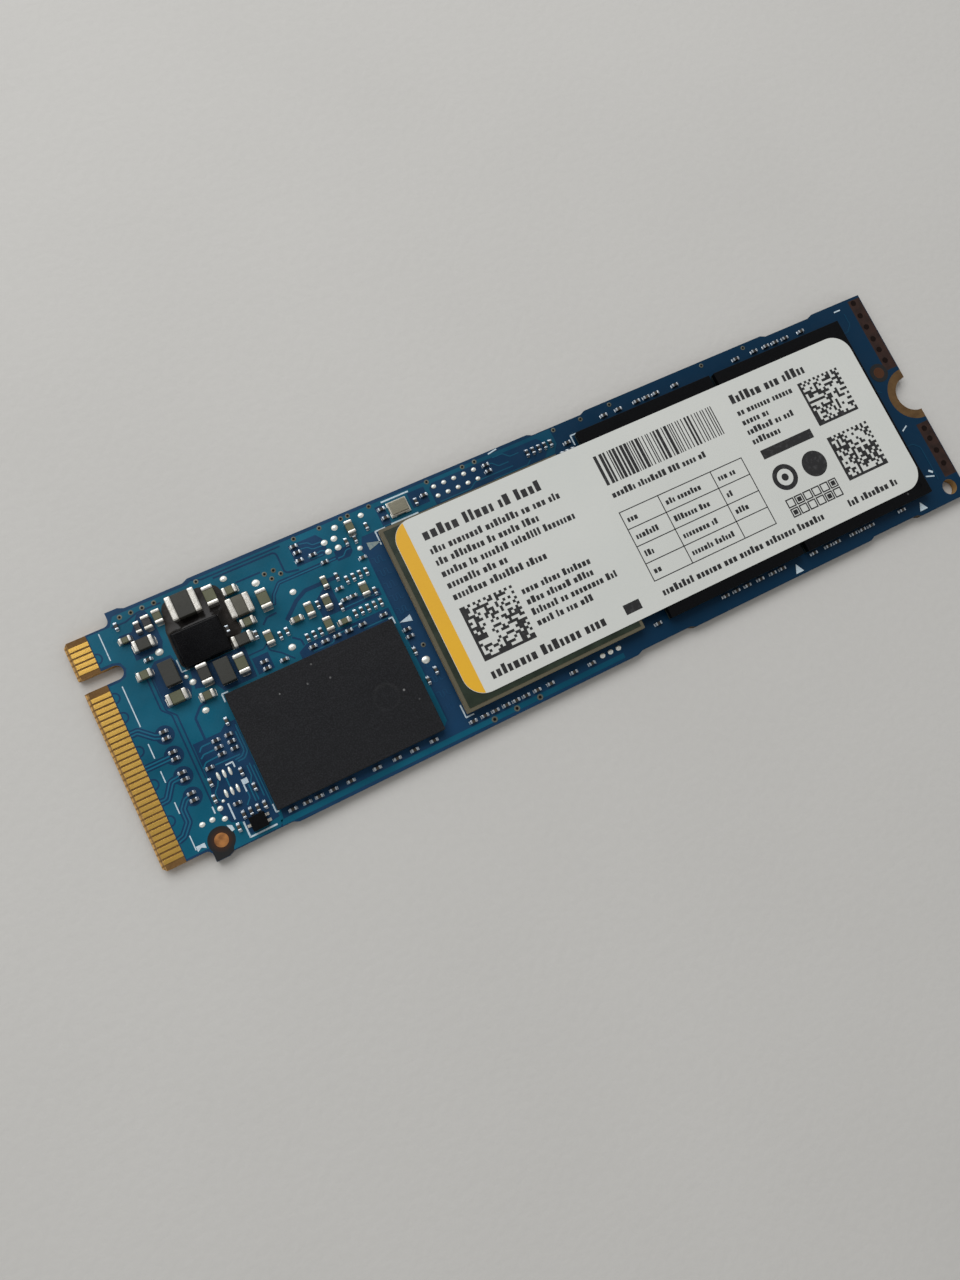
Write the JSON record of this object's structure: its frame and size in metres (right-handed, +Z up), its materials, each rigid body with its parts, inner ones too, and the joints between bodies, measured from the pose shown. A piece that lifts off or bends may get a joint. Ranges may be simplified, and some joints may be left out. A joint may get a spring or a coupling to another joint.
{
  "type": "m2 nvme ssd card",
  "caption": "Flat solid-state drive card with a gold edge connector, black memory chips, a controller under a blank printed label, tiny chip parts and a half-round screw notch.",
  "frame": {"origin": "middle of the card on its underside", "axes": "+X along the card from the connector to the screw notch, +Y across it towards the key slot, +Z up through the side that carries the chips"},
  "size_m": [0.08, 0.022, 0.0019],
  "materials": {
    "solder_mask": "glossy blue solder mask over copper and glass laminate",
    "gold_plate": "satin hard gold over nickel",
    "bare_copper": "dull browned bare copper",
    "black_mould": "matte moulded epoxy with fine grain",
    "chip_substrate": "dark laminate edge",
    "solder": "reflowed solder",
    "tan_laminate": "cut edge of bare laminate",
    "green_cover": "dark green satin coating",
    "label_paper": "satin white printed label",
    "ferrite_grey": "grey moulded ferrite",
    "tin_plate": "bright tin plating wetted by solder",
    "capacitor_ceramic": "fired olive ceramic",
    "resistor_black": "black glaze",
    "black_epoxy": "glossy black epoxy",
    "white_ceramic": "unglazed white ceramic",
    "lid_metal": "seam-welded plated lid"
  },
  "bodies": {
    "root": {"circuit_board": "solder_mask", "upper_contacts": "gold_plate", "lower_contacts": "gold_plate", "screw_pad_upper": "gold_plate", "screw_pad_lower": "gold_plate", "ground_strips": "bare_copper", "fiducial_discs": "bare_copper", "dram_mould": "black_mould", "dram_substrate": "chip_substrate", "dram_solder_balls": "solder", "flash_1_mould": "black_mould", "flash_1_substrate": "chip_substrate", "flash_1_solder_balls": "solder", "flash_2_mould": "black_mould", "flash_2_substrate": "chip_substrate", "flash_2_solder_balls": "solder", "controller_laminate": "tan_laminate", "controller_cover": "green_cover", "controller_solder_balls": "solder", "label": "label_paper", "large_inductor_core": "ferrite_grey", "large_inductor_terminals": "tin_plate", "medium_inductor_core": "ferrite_grey", "medium_inductor_terminals": "tin_plate", "moulded_inductors": "ferrite_grey", "moulded_inductor_pads": "tin_plate", "large_capacitor_bodies": "capacitor_ceramic", "large_ferrite_bodies": "ferrite_grey", "large_chip_terminals": "tin_plate", "medium_capacitor_bodies": "capacitor_ceramic", "medium_resistor_body": "resistor_black", "medium_chip_terminals": "tin_plate", "small_capacitor_bodies": "capacitor_ceramic", "small_resistor_body": "resistor_black", "small_chip_terminals": "tin_plate", "tiny_capacitor_bodies": "capacitor_ceramic", "tiny_resistor_bodies": "resistor_black", "tiny_chip_terminals": "tin_plate", "power_chip": "black_mould", "power_chip_underfill": "black_epoxy", "spare_pad_solder": "solder", "sensor_chip": "black_mould", "sensor_leads": "tin_plate", "crystal_base": "white_ceramic", "crystal_lid": "lid_metal", "test_pad_solder": "solder"}
  },
  "joints": []
}
